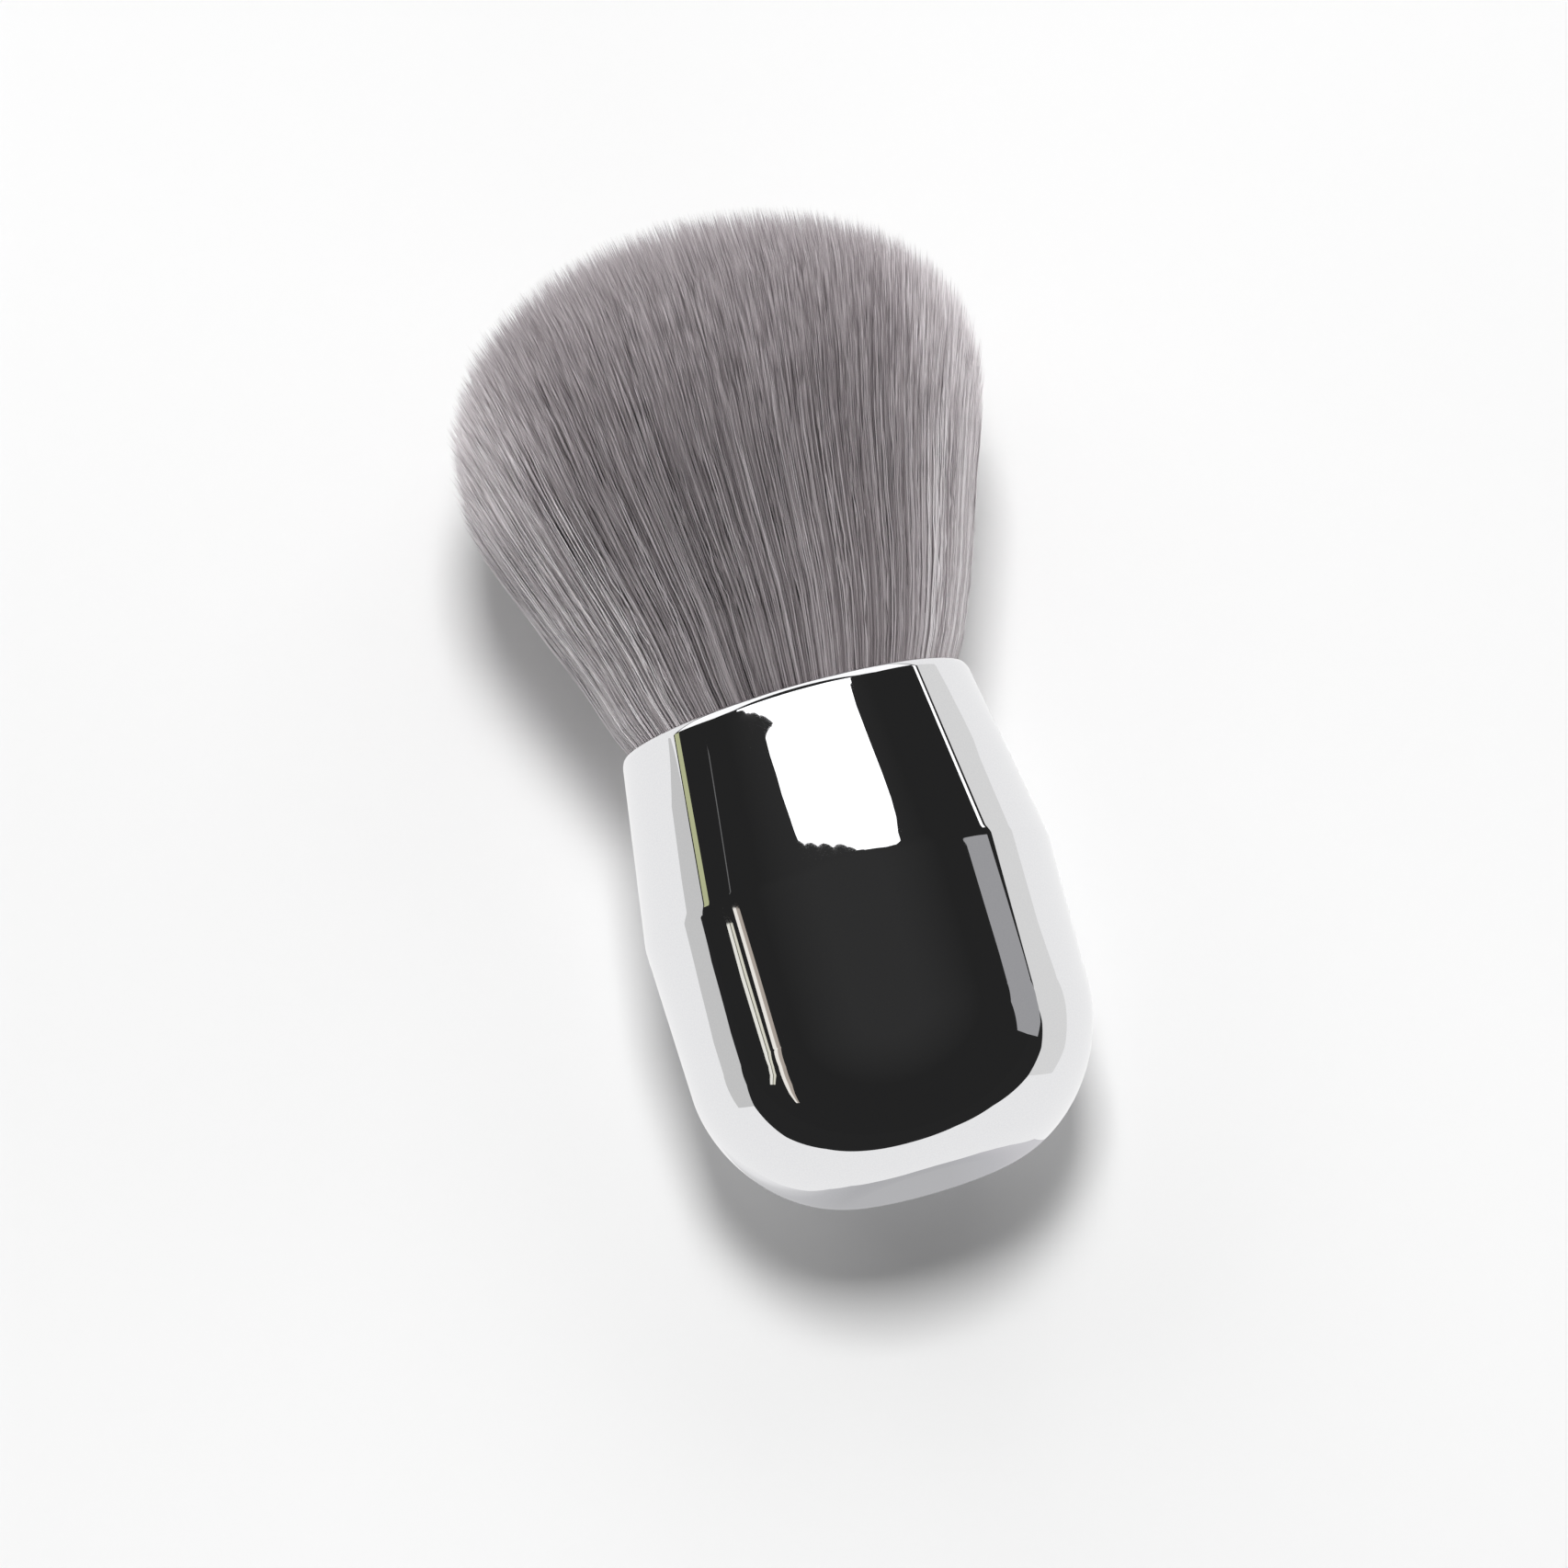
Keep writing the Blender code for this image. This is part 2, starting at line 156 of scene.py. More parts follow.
# A strand on the colour map: the margin left at both ends, how far its sides lie to the left and right, and
# the height of its root's cap
MAP_MARGIN = 0.02
MAP_SIDE = 0.01
MAP_CAP = 0.015

# Most of a noise's values lie between these, and a plain finish's roughness wanders by this share
NOISE_LOW = 0.3
NOISE_HIGH = 0.7
GLOSS_SPREAD = 0.15

# Camera: degrees round from the foot's side and up, metres, and the mouth's place from the picture's middle
CAMERA_AZIMUTH = -16.16
CAMERA_ELEVATION = 75.5
CAMERA_DISTANCE = 2.0
CAMERA_LENS = 495.4
CAMERA_SENSOR = 36.0
CAMERA_CLIP = (0.01, 50.0)
PIXEL = 0.0852 * MM
MOUTH_ACROSS_PIXELS = 11.5
MOUTH_DOWN_PIXELS = -76.5

# Lamps: name, elevation and azimuth from the head's side in degrees, width and height in metres, and the
# share of the table's light
LAMP_DISTANCE = 3.0
LAMPS = (
    ("key", 76.5, 12, 0.7, 0.85, 0.7),
    ("head_low", 12, 0, 2.6, 0.63, 0.065),
    ("foot_low", 12, 180, 2.6, 0.63, 0.025),
    ("left_low", 8, -90, 2.6, 0.42, 0.025),
    ("right_low", 8, 90, 2.6, 0.42, 0.045),
    ("left_front", 45, -35, 2.1, 1.3, 0.065),
    ("right_front", 45, 40, 2.1, 1.3, 0.08),
)
WORLD_FILL = 0.125

# What stands behind the lit parts: the backdrop that the camera sees, and the dark room that the metal
# mirrors, as (height of the direction, colour) pairs
BACKDROP_COLOUR = "#F9F9F9"
ROOM_TONES = ((0.6, "#272727"), (0.95, "#333333"))

# Outlines on the table, millimetres, that the metal shows: where the bright near part ends on each side,
# where the part that it sees as dark begins in front, and the patch under the base with its tones across.
# These are painted reflections, and the patch is a painted shadow:
# the handle's shadow on the table as the metal sees it
TABLE_COLOUR = "#F3F3F3"
TABLE_REACH = 4000
LEFT_EDGE = (
    (-4000, 1600), (-357, 139), (-196, 68), (-150, 47), (-134, 33), (-121, -3), (-98, -12), (-84, -19),
    (-75, -47),
)
RIGHT_EDGE = (
    (53, -65), (55, -53), (64, -45), (86, -21), (103, -14), (112, -3), (110, 12), (96, 20), (87, 19),
    (90, 22.5), (98, 29), (108, 35), (132, 46), (4000, 2000),
)
LEFT_FRONT = ((-4000, 500), (-770, 73), (-430, 28), (-290, 4), (-218, -53), (-132, -70))
FRONT = ((-89, -96), (-73, -132), (-45, -152), (-8, -175), (42, -194), (89, -181), (107, -120))
RIGHT_FRONT = ((137, -100), (250, -101), (600, -130), (4000, -500))
# Painted shadow: outline and tones across of the handle's shadow under the base, as the metal sees it
BASE_PAINTED_SHADOW = (
    (-18.3, -53.5), (-16.3, -58.5), (-12.6, -61.8), (-7.4, -61.8), (-2.3, -60.8), (2.4, -61.2), (6.2, -60.8),
    (9.6, -60.9), (12.2, -59.1), (13.8, -56.6), (15.5, -50), (12, -38), (-16, -38), (-23, -36), (-24, -44),
)
PAINTED_SHADOW_TONES = (
    (-24, "#F7F7F7"), (-21, "#EEEEEF"), (-18.5, "#D6D6D7"), (-15, "#C4C4C6"), (-9, "#B9B9BB"), (3, "#B9B9BB"),
    (7, "#BFBFC2"), (10, "#C9C8CB"), (14, "#D4D3D6"),
)
PANEL_FOOT = ((1000, -128), (298, -117), (260, -141), (1000, -460))
FLOOR_CARD_HEIGHT = 0.5

# Outlines of the other cards as the metal shows them, in metres: the softbox on its own height, and the rest
# upright, each at its place across
SOFTBOX = (
    (-0.193, 0.184), (-0.165, 0.179), (-0.102, 0.171), (-0.035, 0.166), (0.028, 0.165), (0.096, 0.166),
    (0.150, 0.158), (0.210, 0.140), (0.270, 0.152), (0.309, 0.200), (0.334, 0.2075), (0.345, 0.2125),
    (0.345, 0.216), (0.337, 0.2185), (0.330, 0.222), (0.340, 0.227), (0.358, 0.2315), (0.378, 0.250),
    (0.200, 0.262), (-0.200, 0.266), (-0.380, 0.262), (-0.390, 0.246), (-0.316, 0.226), (-0.286, 0.219),
    (-0.2275, 0.2065), (-0.1785, 0.1974), (-0.158, 0.1938), (-0.1726, 0.1955), (-0.207, 0.2005),
    (-0.2256, 0.2032), (-0.226, 0.201), (-0.218, 0.197), (-0.216, 0.194), (-0.207, 0.190), (-0.200, 0.1863),
)
SOFTBOX_HEIGHT = 0.5
SOFTBOX_STRENGTH = 1.7
PANEL = (
    (0.094, 0.092), (0.087, 0.062), (0.081, 0.044), (-0.127, 0.0), (-0.460, 0.0), (-0.469, 0.060),
    (-0.475, 0.212), (-0.180, 0.344), (0.055, 0.353), (0.062, 0.370), (0.069, 0.386), (0.068, 0.416),
)
PANEL_ACROSS = 1.0
PANEL_COLOUR = "#A4A4A6"
BRIGHT_STRIP = ((0.30, 0.056), (0.46, 0.056), (0.46, 0.092), (0.30, 0.092))
BRIGHT_STRENGTH = 1.5
GREEN_STRIP = ((0.50, 0.044), (0.66, 0.044), (0.66, 0.146), (0.50, 0.146))
GREEN_ACROSS = -1.5
HANGING_WIRE = ((0.445, 0.497), (0.40, 0.389), (0.40, 0.381), (0.445, 0.489))

# Two tubes, in stations of a point on the lower edge and the point across from it on the upper one, as
# y, z, y, z. Their colours are in bands that end at these shares of the way up
TUBE_ACROSS = -1.0
TUBE_BANDS = (0.0, 0.48, 0.62, 1.0)
FRONT_TUBE = (
    (0.073, 0.278, 0.0675, 0.355), (0.067, 0.254, 0.061, 0.342), (0.057, 0.251, 0.0505, 0.3355),
    (-0.100, 0.242, -0.137, 0.303), (-0.201, 0.204, -0.244, 0.268), (-0.280, 0.137, -0.317, 0.189),
)
FRONT_TUBE_COLOURS = ("#F6F5EC", "#6E6C60", "#E4E2D2")
BACK_TUBE = (
    (0.066, 0.410, 0.061, 0.494), (0.057, 0.398, 0.051, 0.489), (0.047, 0.380, 0.042, 0.478),
    (-0.168, 0.354, -0.221, 0.436), (-0.390, 0.284, -0.452, 0.358), (-0.505, 0.244, -0.556, 0.296),
    (-0.641, 0.209, -0.675, 0.238),
)
BACK_TUBE_COLOURS = ("#FCF8F0", "#B9B0A6", "#B4AAA0")

# The far band: its distance in metres, its reach to each side in degrees, its steps, and its lower and upper
# edge as (degrees to the side, degrees up) pairs
BAND_DISTANCE = 1.2
BAND_REACH = 62
BAND_STEPS = 30
BAND_BOTTOM = ((22, 24), (40, 3))
BAND_TOP = ((52, 41), (62, 31))
BAND_STRENGTH = 1.2


def linear(hex_colour):
    """An sRGB hex colour as linear RGBA."""
    parts = [int(hex_colour[i : i + 2], 16) / 255 for i in (1, 3, 5)]
    return tuple(p / 12.92 if p <= 0.04045 else ((p + 0.055) / 1.055) ** 2.4 for p in parts) + (1.0,)


def on_brush(across, up, over):
    """World points from millimetres across the brush, up its axis from the base and towards the sky."""
    across, up, over = (np.asarray(v, float)[..., None] * MM for v in (across, up, over))
    return BASE_POINT + across * ACROSS + up * AXIS + over * OVER


def direction(elevation, azimuth):
    """The unit vector at this elevation and this azimuth, in degrees round from the head's side."""
    elevation, azimuth = math.radians(elevation), math.radians(azimuth)
    along = math.cos(elevation)
    return np.array([along * math.sin(azimuth), along * math.cos(azimuth), math.sin(elevation)])


# Materials


def add_node(tree, kind, inputs=None, **settings):
    """Adds a node, sets its properties, and sets or links its inputs, which are named or numbered."""
    made = tree.nodes.new(kind)
    for name, value in settings.items():
        setattr(made, name, value)
    for name, value in (inputs or {}).items():
        if isinstance(value, bpy.types.NodeSocket):
            tree.links.new(value, made.inputs[name])
        else:
            made.inputs[name].default_value = value
    return made


def set_ramp(ramp, stops):
    """Gives a colour ramp its (position, hex colour) stops."""
    elements = ramp.color_ramp.elements
    while len(elements) > 1:
        elements.remove(elements[-1])
    elements[0].position, elements[0].color = stops[0][0], linear(stops[0][1])
    for position, colour in stops[1:]:
        elements.new(position).color = linear(colour)
    return ramp.outputs["Color"]


def new_material(name, **shader_values):
    """A material and its Principled shader, with constant values set on the shader's own sockets."""
    material = bpy.data.materials.new(name)
    material.use_nodes = True
    tree = material.node_tree
    shader = tree.nodes["Principled BSDF"]
    for socket, value in shader_values.items():
        shader.inputs[socket.replace("_", " ")].default_value = value
    return material, tree, shader


def object_noise(tree, per_mm, detail, stretch=(1.0, 1.0, 1.0)):
    """Noise over the object's own coordinates, with this many features to a millimetre."""
    place = add_node(tree, "ShaderNodeTexCoord").outputs["Object"]
    place = add_node(tree, "ShaderNodeMapping", {"Vector": place, "Scale": stretch}).outputs["Vector"]
    noise = add_node(tree, "ShaderNodeTexNoise", {"Vector": place, "Scale": per_mm / MM, "Detail": detail})
    return noise.outputs["Fac"]


def mottle(tree, shader, noise, tones, gloss, grain, depth):
    """Lets a noise move the colour along its tones and the roughness between two values.

    The grain is a noise too, and raises the surface by up to its depth, in millimetres.
    """
    ramp = add_node(tree, "ShaderNodeValToRGB", {"Fac": noise})
    tree.links.new(set_ramp(ramp, tones), shader.inputs["Base Color"])
    spread = {"From Min": NOISE_LOW, "From Max": NOISE_HIGH, "To Min": gloss[0], "To Max": gloss[1]}
    wander = add_node(tree, "ShaderNodeMapRange", {"Value": noise, **spread})
    tree.links.new(wander.outputs["Result"], shader.inputs["Roughness"])
    bump = add_node(tree, "ShaderNodeBump", {"Strength": 1.0, "Distance": depth * MM, "Height": grain})
    tree.links.new(bump.outputs["Normal"], shader.inputs["Normal"])


def chrome_material():
    """Bright chrome plate, polished: a hard cool mirror that keeps every edge sharp.

    Real polishing marks are far finer than a pixel, so they are drawn 0.15 to 0.2 mm wide and nearly flat.
    """
    material, tree, shader = new_material("chrome_plate", Metallic=1.0)
    haze = object_noise(tree, 6.5, 1.0)
    grain = object_noise(tree, 5.2, 1.0)
    tones = ((NOISE_LOW, "#E8E8EA"), (NOISE_HIGH, "#ECECED"))
    mottle(tree, shader, haze, tones, (0.004, 0.012), grain, 8.0e-6)
    return material


def hair_material():
    """Fine filament: each strand has its own mauve or grey and a soft sheen, and is paler at its ends.

    The paler root end is painted light against the shade between packed strands at the mouth. The paler tip
    is partly the filament's own colour and partly painted light on its thin, lit end.
    """
    material, tree, shader = new_material("synthetic_hair", Roughness=0.42)
    place = add_node(tree, "ShaderNodeUVMap", uv_map="OFBake").outputs["UV"]
    parts = add_node(tree, "ShaderNodeSeparateXYZ", {"Vector": place})
    strand = add_node(tree, "ShaderNodeValToRGB", {"Fac": parts.outputs["X"]})
    strand_tones = (
        (0.0, "#6B6467"),
        (0.25, "#8F878A"),
        (0.5, "#B2AAAD"),
        (0.75, "#D6CFD2"),
        (1.0, "#FAF5F7"),
    )
    length = add_node(tree, "ShaderNodeValToRGB", {"Fac": parts.outputs["Y"]})
    # Painted light at the root end; at the tip, partly the filament's own colour and partly painted light
    length_tones_and_painted_light = (
        (0.05, "#FFFFFF"),
        (0.13, "#EFEFEF"),
        (0.3, "#EBEBEB"),
        (0.7, "#EBEBEB"),
        (0.86, "#F6F6F6"),
        (0.95, "#FFFFFF"),
    )
    colour = add_node(
        tree,
        "ShaderNodeMix",
        {"Factor": 1.0, "A": set_ramp(strand, strand_tones), "B": set_ramp(length, length_tones_and_painted_light)},
        data_type="RGBA",
        blend_type="MULTIPLY",
    )
    tree.links.new(colour.outputs[2], shader.inputs["Base Color"])
    return material


def plain_finish(name, tones, per_mm, roughness, metallic=0.0, depth=0.02, stretch=(1.0, 1.0, 1.0)):
    """A finish with fine mottling between two tones, and a grain of the same width."""
    material, tree, shader = new_material(name, Metallic=metallic)
    noise = object_noise(tree, per_mm, 4.0, stretch)
    low, high = tones
    gloss = (roughness * (1 - GLOSS_SPREAD), roughness * (1 + GLOSS_SPREAD))
    mottle(tree, shader, noise, ((0.35, low), (0.65, high)), gloss, noise, depth)
    return material


def foam_material():
    """Closed-cell foam tape: matt and near black, with cells of about 0.4 mm."""
    return plain_finish("closed_cell_foam", ("#2C2C2E", "#3C3C3F"), 2.5, 0.9)


def steel_material():
    """Turned steel: a grey satin metal, faintly mottled over about 0.55 mm."""
    return plain_finish("turned_steel", ("#8B8D90", "#9A9CA0"), 1.8, 0.38, 1.0, 0.002)


def abs_material():
    """Moulded ABS: an off-white satin plastic, with a faint flow pattern over about 0.8 mm."""
    return plain_finish("moulded_abs", ("#D6D3CC", "#DCD9D3"), 1.2, 0.55, 0.0, 0.004)


def aluminium_material():
    """Drawn aluminium: a pale bright metal, softly clouded over about 0.65 mm."""
    return plain_finish("drawn_aluminium", ("#C2C4C8", "#CFD1D4"), 1.5, 0.3, 1.0, 0.001)


def epoxy_material():
    """Cast epoxy: glossy amber, nearly smooth, and cloudy over about 1.7 mm."""
    return plain_finish("cast_epoxy", ("#B58A4C", "#C49A5A"), 0.6, 0.18, 0.0, 0.001)


def nylon_material():
    """Wound nylon thread: soft off-white, in raised turns about 0.3 mm apart along the brush's axis."""
    along_turns = (0.1, 1.0, 0.1)
    return plain_finish("wound_nylon", ("#E2DED6", "#EFEBE3"), 3.5, 0.7, 0.0, 0.06, along_turns)


# Meshes


def new_object(name, mesh, material):
    """Links a finished mesh to the scene, at the origin."""
    mesh.materials.append(material)
    obj = bpy.data.objects.new(name, mesh)
    bpy.context.scene.collection.objects.link(obj)
    return obj


def mesh_from(name, points, corners, face_sizes):
    """A smooth mesh from whole arrays of points, face corners and face sizes."""
    mesh = bpy.data.meshes.new(name)
    mesh.vertices.add(len(points))
    mesh.vertices.foreach_set("co", np.asarray(points, np.float32).ravel())
    mesh.loops.add(len(corners))
    mesh.loops.foreach_set("vertex_index", np.asarray(corners, np.int32))
    mesh.polygons.add(len(face_sizes))
    starts = np.concatenate([[0], np.cumsum(face_sizes)[:-1]])
    mesh.polygons.foreach_set("loop_start", starts.astype(np.int32))
    mesh.polygons.foreach_set("loop_total", np.asarray(face_sizes, np.int32))
    mesh.polygons.foreach_set("use_smooth", np.full(len(face_sizes), True))
    mesh.update(calc_edges=True)
    mesh.validate()
    return mesh


def ring_quads(rings, sides):
    """Corners of the quads between each ring of points and the next, where a ring closes on itself."""
    here = np.arange(sides)
    then = (here + 1) % sides
    row = np.arange(rings - 1)[:, None] * sides
    return np.stack([row + here, row + then, row + sides + then, row + sides + here], -1)


def turned_mesh(name, profile, segments):
    """A closed turned solid: each (radius, height) point of the profile goes round the brush's axis.

    Across is the radius times the turn's cosine, over is the radius times its sine, and up is the height.
    The profile starts and ends on the axis, where one point closes the surface. It runs so that the
    solid lies on its left.
    """
    profile = np.asarray(profile, float)
    rings = profile[1:-1]
    angles = np.arange(segments) * 2 * math.pi / segments
    across = rings[:, 0, None] * np.cos(angles)
    over = rings[:, 0, None] * np.sin(angles)
    up = np.repeat(rings[:, 1, None], segments, axis=1)
    points = on_brush(across, up, over).reshape(-1, 3)
    poles = on_brush(np.zeros(2), profile[[0, -1], 1], np.zeros(2))
    points = np.concatenate([points, poles])
    here = np.arange(segments)
    then = (here + 1) % segments
    first, last = len(points) - 2, len(points) - 1
    end = (len(rings) - 1) * segments
    quads = ring_quads(len(rings), segments)
    start_fan = np.stack([np.full(segments, first), then, here], -1)
    end_fan = np.stack([np.full(segments, last), end + here, end + then], -1)
    corners = np.concatenate([quads.ravel(), start_fan.ravel(), end_fan.ravel()])
    sizes = np.concatenate([np.full(quads.size // 4, 4), np.full(2 * segments, 3)])
    return mesh_from(name, points, corners, sizes)


# Handle


def rounded_crease(above, crease, below):
    """Points of the parabola that rounds the crease off, from its body side to its cone side.

    It starts and ends on the two sides, and each point is their blend with the crease: the first side by the
    square of what is left of the way, the crease by twice both, and the other side by the square of the way.
    """
    above, crease, below = (np.array(p) for p in (above, crease, below))
    first = crease + CREASE_BELOW * (below - crease) / np.linalg.norm(below - crease)
    last = crease + CREASE_ABOVE * (above - crease) / np.linalg.norm(above - crease)
    t = np.linspace(0, 1, CREASE_STEPS + 1)[:, None]
    return [tuple(p) for p in (1 - t) ** 2 * first + 2 * t * (1 - t) * crease + t**2 * last]


def side_line(start, end):
    """Points of a straight side, closer together near its ends, so that the side mirrors as straight.

    Their shares of the way are half of one minus the cosine of evenly spaced angles.
    """
    start, end = np.array(start), np.array(end)
    share = 0.5 - 0.5 * np.cos(np.linspace(0, math.pi, SIDE_STEPS + 1))
    return [tuple(p) for p in start + share[:, None] * (end - start)]


def corner_line():
    """The bottom corner, from the base disc's edge up to the side.

    It is a superellipse: the shares of its width and height, each to a power, add up to one.
    """
    angles = np.linspace(0, math.pi / 2, CORNER_STEPS + 1)
    radii = BASE_RADIUS + (CORNER_RADIUS - BASE_RADIUS) * np.sin(angles) ** (2 / CORNER_POWER)
    heights = CORNER_HEIGHT * (1 - np.cos(angles) ** (2 / CORNER_POWER))
    return list(zip(radii.tolist(), heights.tolist()))


def lip_line(start):
    """The rolled lip, followed from the cone's end over its top and down inside, turn by turn."""
    radius, height = start
    angle = math.degrees(math.atan(CONE_SLOPE))
    points = []
    for turned_to, length in LIP_TURNS:
        for step in range(LIP_STEPS):
            face = math.radians(angle + (turned_to - angle) * (step + 0.5) / LIP_STEPS)
            radius -= math.sin(face) * length / LIP_STEPS
            height += math.cos(face) * length / LIP_STEPS
            points.append((radius, height))
        angle = turned_to
    return points


def handle_profile():
    """The shell's line: outside from the base to the lip, then inside back down to the base."""
    crease = (CREASE_RADIUS, CREASE_HEIGHT)
    corner = (CORNER_RADIUS, CORNER_HEIGHT)
    lip_height = max(height for radius, height in lip_line((0.0, 0.0)))
    cone_height = HANDLE_HEIGHT - lip_height - CREASE_HEIGHT
    cone_end = (CREASE_RADIUS - CONE_SLOPE * cone_height, CREASE_HEIGHT + cone_height)
    blended = rounded_crease(cone_end, crease, corner)
    lip = lip_line(cone_end)
    inside = [
        (lip[-1][0], lip[-1][1] - INSIDE_STRAIGHT),
        (CREASE_RADIUS - WALL, CREASE_HEIGHT),
        (CORNER_RADIUS - WALL, CORNER_HEIGHT),
        (CORNER_RADIUS - WALL - INSIDE_DRAW, CORNER_HEIGHT * 0.5),
        (BASE_RADIUS - WALL, WALL),
    ]
    return [
        (0.0, 0.0),
        (BASE_RADIUS / 2, 0.0),
        *corner_line(),
        *side_line(corner, blended[0])[1:],
        *blended[1:-1],
        *side_line(blended[-1], cone_end),
        *lip,
        *inside,
        (0.0, WALL),
    ]


def make_handle():
    """The drawn and plated shell, with a rolled lip."""
    mesh = turned_mesh("handle_chrome_shell", handle_profile(), HANDLE_SEGMENTS)
    handle = new_object("handle_chrome_shell", mesh, chrome_material())
    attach(handle, "root")
    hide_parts("handle_shell")


# Hair


def nearest(points, seeds):
    """The index of the seed nearest to each point of the plane, worked out in parts to spare memory."""
    found = np.empty(len(points), int)
    for part in np.array_split(np.arange(len(points)), NEAREST_PARTS):
        gaps = ((points[part, None] - seeds[None]) ** 2).sum(-1)
        found[part] = gaps.argmin(1)
    return found


def disc_points(rng, count, power):
    """Random points of the unit disc, evenly spread where power is a half."""
    share = rng.random(count) ** power
    angle = rng.random(count) * 2 * math.pi
    return np.stack([share * np.cos(angle), share * np.sin(angle)], -1)


def fan_radius(heights):
    """Half width of the hair at heights above the mouth.

    It is a straight fan less what the lip draws in, which fades above the neck as one over one plus the
    exponential of the height.
    """
    drawn_in = NECK_DRAW / (1 + np.exp((heights - NECK_HEIGHT) / NECK_FADE))
    return FAN_RADIUS + FAN_SLOPE * heights - drawn_in


def plan_hair(rng):
    """What tells the strands apart, in arrays: roots on the unit disc, tips in mm, bends and colour places.

    The tips end under a flat dome: its height falls with the share of the half width, squared, taken
    from one and raised to a power. Most strands end a little below it, which softens the edge. Near
    strands draw together into fine streaks.
    """
    roots = disc_points(rng, HAIR_COUNT, STRAND_POWER)
    small_seeds = disc_points(rng, SMALL_CLUMPS, STRAND_POWER)
    small = nearest(roots, small_seeds)
    big = nearest(small_seeds, disc_points(rng, BIG_CLUMPS, BIG_CLUMP_POWER))[small]
    share = np.linalg.norm(roots, axis=1)
    tips = SHOULDER_HEIGHT + DOME_HEIGHT * (1 - share**2) ** DOME_POWER
    tips -= np.abs(rng.normal(0, TIP_SPREAD, HAIR_COUNT))
    own = rng.normal(0, LEAN_SPREAD["own"], (HAIR_COUNT, 2))
    own[rng.random(HAIR_COUNT) < STRAY_SHARE] *= STRAY_LEAN
    lean = own + rng.normal(0, LEAN_SPREAD["small"], (SMALL_CLUMPS, 2))[small]
    lean += rng.normal(0, LEAN_SPREAD["big"], (BIG_CLUMPS, 2))[big]
    # Painted light and shade: towards the left and right edges strands get paler, and their tones spread
    # wider
    sides = (np.abs(roots[:, 0]) - PAINTED_SIDE_LIGHT_START) / (PAINTED_SIDE_LIGHT_END - PAINTED_SIDE_LIGHT_START)
    sides = np.clip(sides, 0, 1) ** PAINTED_SIDE_LIGHT_POWER
    tone = TONE_MIDDLE + TONE_PAINTED_SIDE_LIGHT * sides
    tone += rng.normal(0, TONE_SPREAD["big"], BIG_CLUMPS)[big]
    tone += rng.normal(0, TONE_SPREAD["small"], SMALL_CLUMPS)[small]
    tone += TONE_SPREAD["own"] * rng.uniform(-1, 1, HAIR_COUNT) * (1 + TONE_SPREAD["own_painted_sides"] * sides)
    return {
        "roots": roots,
        "middles": small_seeds[small],
        "share": share,
        "tips": tips,
        "pull": rng.uniform(*PULL, SMALL_CLUMPS)[small],
        "lean": lean,
        "waves": rng.uniform(*WAVES, SMALL_CLUMPS)[small] + rng.normal(0, WAVE_SPREAD, HAIR_COUNT),
        "phase": rng.uniform(0, 2 * math.pi, (SMALL_CLUMPS, 2))[small],
        "sway": rng.normal(0, SWAY_SPREAD, HAIR_COUNT),
        "tone": np.clip(tone, *TONE_LIMITS),
        "turn": rng.uniform(0, 2 * math.pi, HAIR_COUNT),
    }


def strand_lines(strands, places):
    """Centre lines of planned strands, at these places on their way, as (strand, place, xyz) in metres.

    A strand keeps its root's place on the unit disc, moved towards its clump's middle and by its lean, each
    times a power of the way, and by a sine wave that is strongest half way. The fan's half width at its
    height turns the disc into millimetres.
    """
    t = np.array(places)
    heights = HAIR_ROOT + (strands["tips"][:, None] - HAIR_ROOT) * t
    gathered = (strands["pull"][:, None] * t**PULL_POWER)[..., None]
    middles = strands["middles"][:, None]
    flat = middles + (strands["roots"][:, None] - middles) * (1 - gathered)
    flat = flat + strands["lean"][:, None] * (t**LEAN_POWER)[:, None]
    waves = np.sin(2 * math.pi * strands["waves"][:, None, None] * t[:, None] + strands["phase"][:, None])
    flat = flat + strands["sway"][:, None, None] * np.sin(math.pi * t)[:, None] * waves
    flat = flat * fan_radius(heights)[..., None]
    flat[..., 0] += np.interp(heights, *zip(*LEAN))
    return rest_on_floor(on_brush(flat[..., 0], HANDLE_HEIGHT + heights, flat[..., 1]))


def rest_on_floor(points):
    """Presses what would pass through the floor flat on it, with a soft start.

    The pressed height is the logarithm of one plus the exponential of the height, which the sharpness
    multiplies before and divides after.
    """
    soft = PRESS_HEIGHT * MM
    height = points[..., 2] / soft
    pressed = soft * np.logaddexp(0, height * PRESS_SHARPNESS) / PRESS_SHARPNESS
    rested = np.where(height < PRESS_REACH, pressed, points[..., 2])
    points[..., 2] = np.maximum(rested, 0) + FLOOR_CLEARANCE * MM
    return points


